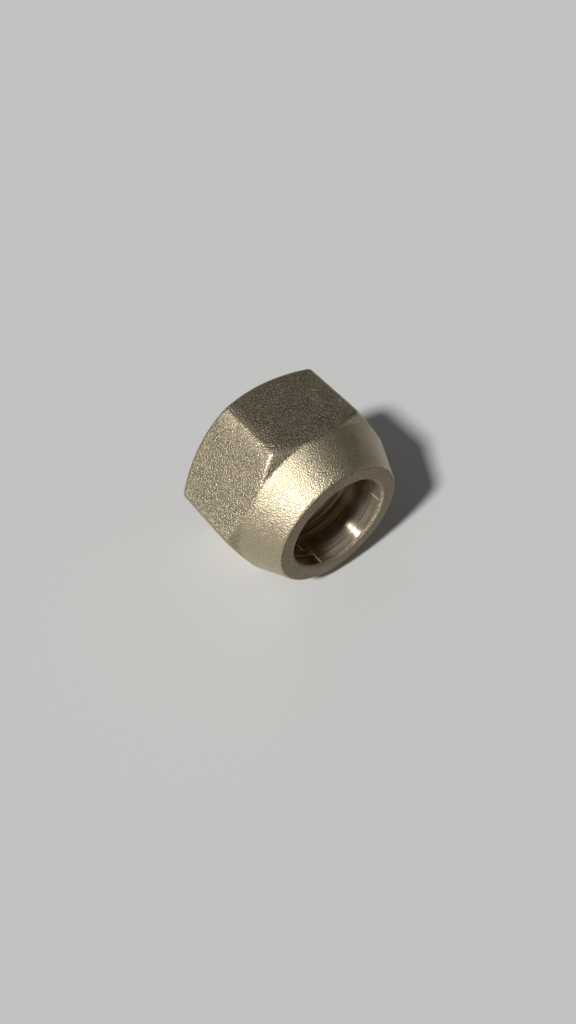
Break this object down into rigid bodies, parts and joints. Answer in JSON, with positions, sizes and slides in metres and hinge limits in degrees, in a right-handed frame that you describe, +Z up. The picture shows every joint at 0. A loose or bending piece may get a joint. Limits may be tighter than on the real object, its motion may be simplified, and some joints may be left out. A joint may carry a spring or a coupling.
{
  "type": "flare nut",
  "caption": "Forged brass hexagon nut with a conical nose: an internal thread at the back, and a plain bore through the nose for a flared tube.",
  "frame": {"origin": "on the surface that the nut lies on, under the middle of the nut", "axes": "+Z up, out of the top flat; -Y along the nut's axis, out of the nose; X across two corners of the hexagon"},
  "size_m": [0.031, 0.0198, 0.027],
  "materials": {
    "brass": "shot-blasted forging outside, machined hole"
  },
  "bodies": {
    "root": {"flare_nut": "brass"}
  },
  "joints": []
}
